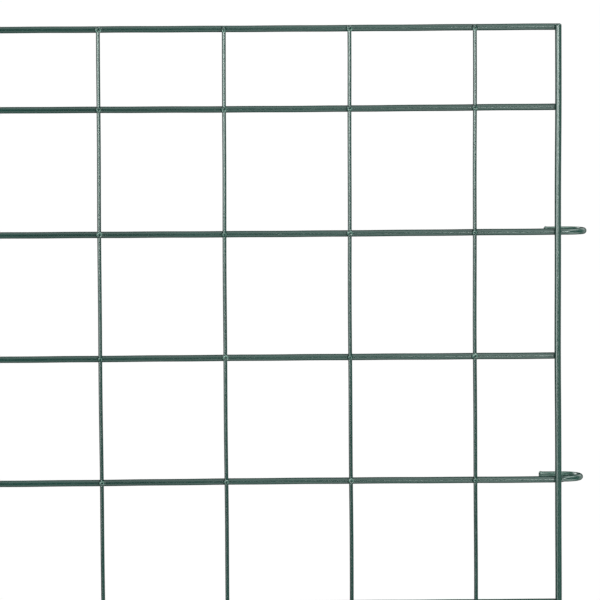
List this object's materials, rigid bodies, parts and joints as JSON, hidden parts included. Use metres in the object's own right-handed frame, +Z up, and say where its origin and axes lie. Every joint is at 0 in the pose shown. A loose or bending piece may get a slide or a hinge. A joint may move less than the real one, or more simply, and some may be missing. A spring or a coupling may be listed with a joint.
{
  "type": "livestock panel gate",
  "caption": "Welded wire mesh panel gate with a thick wire border, thin uprights and bent wire hooks along one side that hang it on a round post.",
  "frame": {"origin": "on the upright line through the centres of all the hook bends, at the middle of the lowest hook's wire", "axes": "+Z up along the hinge post, +X from the panel towards the open air past the hook bends, +Y behind the panel, the side that the hooks bend to"},
  "size_m": [0.958, 0.0366, 0.933],
  "materials": {
    "green_coat": "semi-gloss polymer coat, moss green"
  },
  "bodies": {
    "root": {"top_wire": "green_coat", "bottom_wire": "green_coat", "edge_wire_left": "green_coat", "edge_wire_right": "green_coat", "cross_wire_1": "green_coat", "cross_wire_3": "green_coat", "cross_wire_5": "green_coat", "cross_wire_7": "green_coat", "cross_wire_9": "green_coat", "hook_wire_2": "green_coat", "hook_wire_4": "green_coat", "hook_wire_6": "green_coat", "hook_wire_8": "green_coat", "upright_wire_1": "green_coat", "upright_wire_2": "green_coat", "upright_wire_3": "green_coat", "upright_wire_4": "green_coat", "upright_wire_5": "green_coat", "upright_wire_6": "green_coat", "upright_wire_7": "green_coat", "upright_wire_8": "green_coat", "upright_wire_9": "green_coat"}
  },
  "joints": []
}
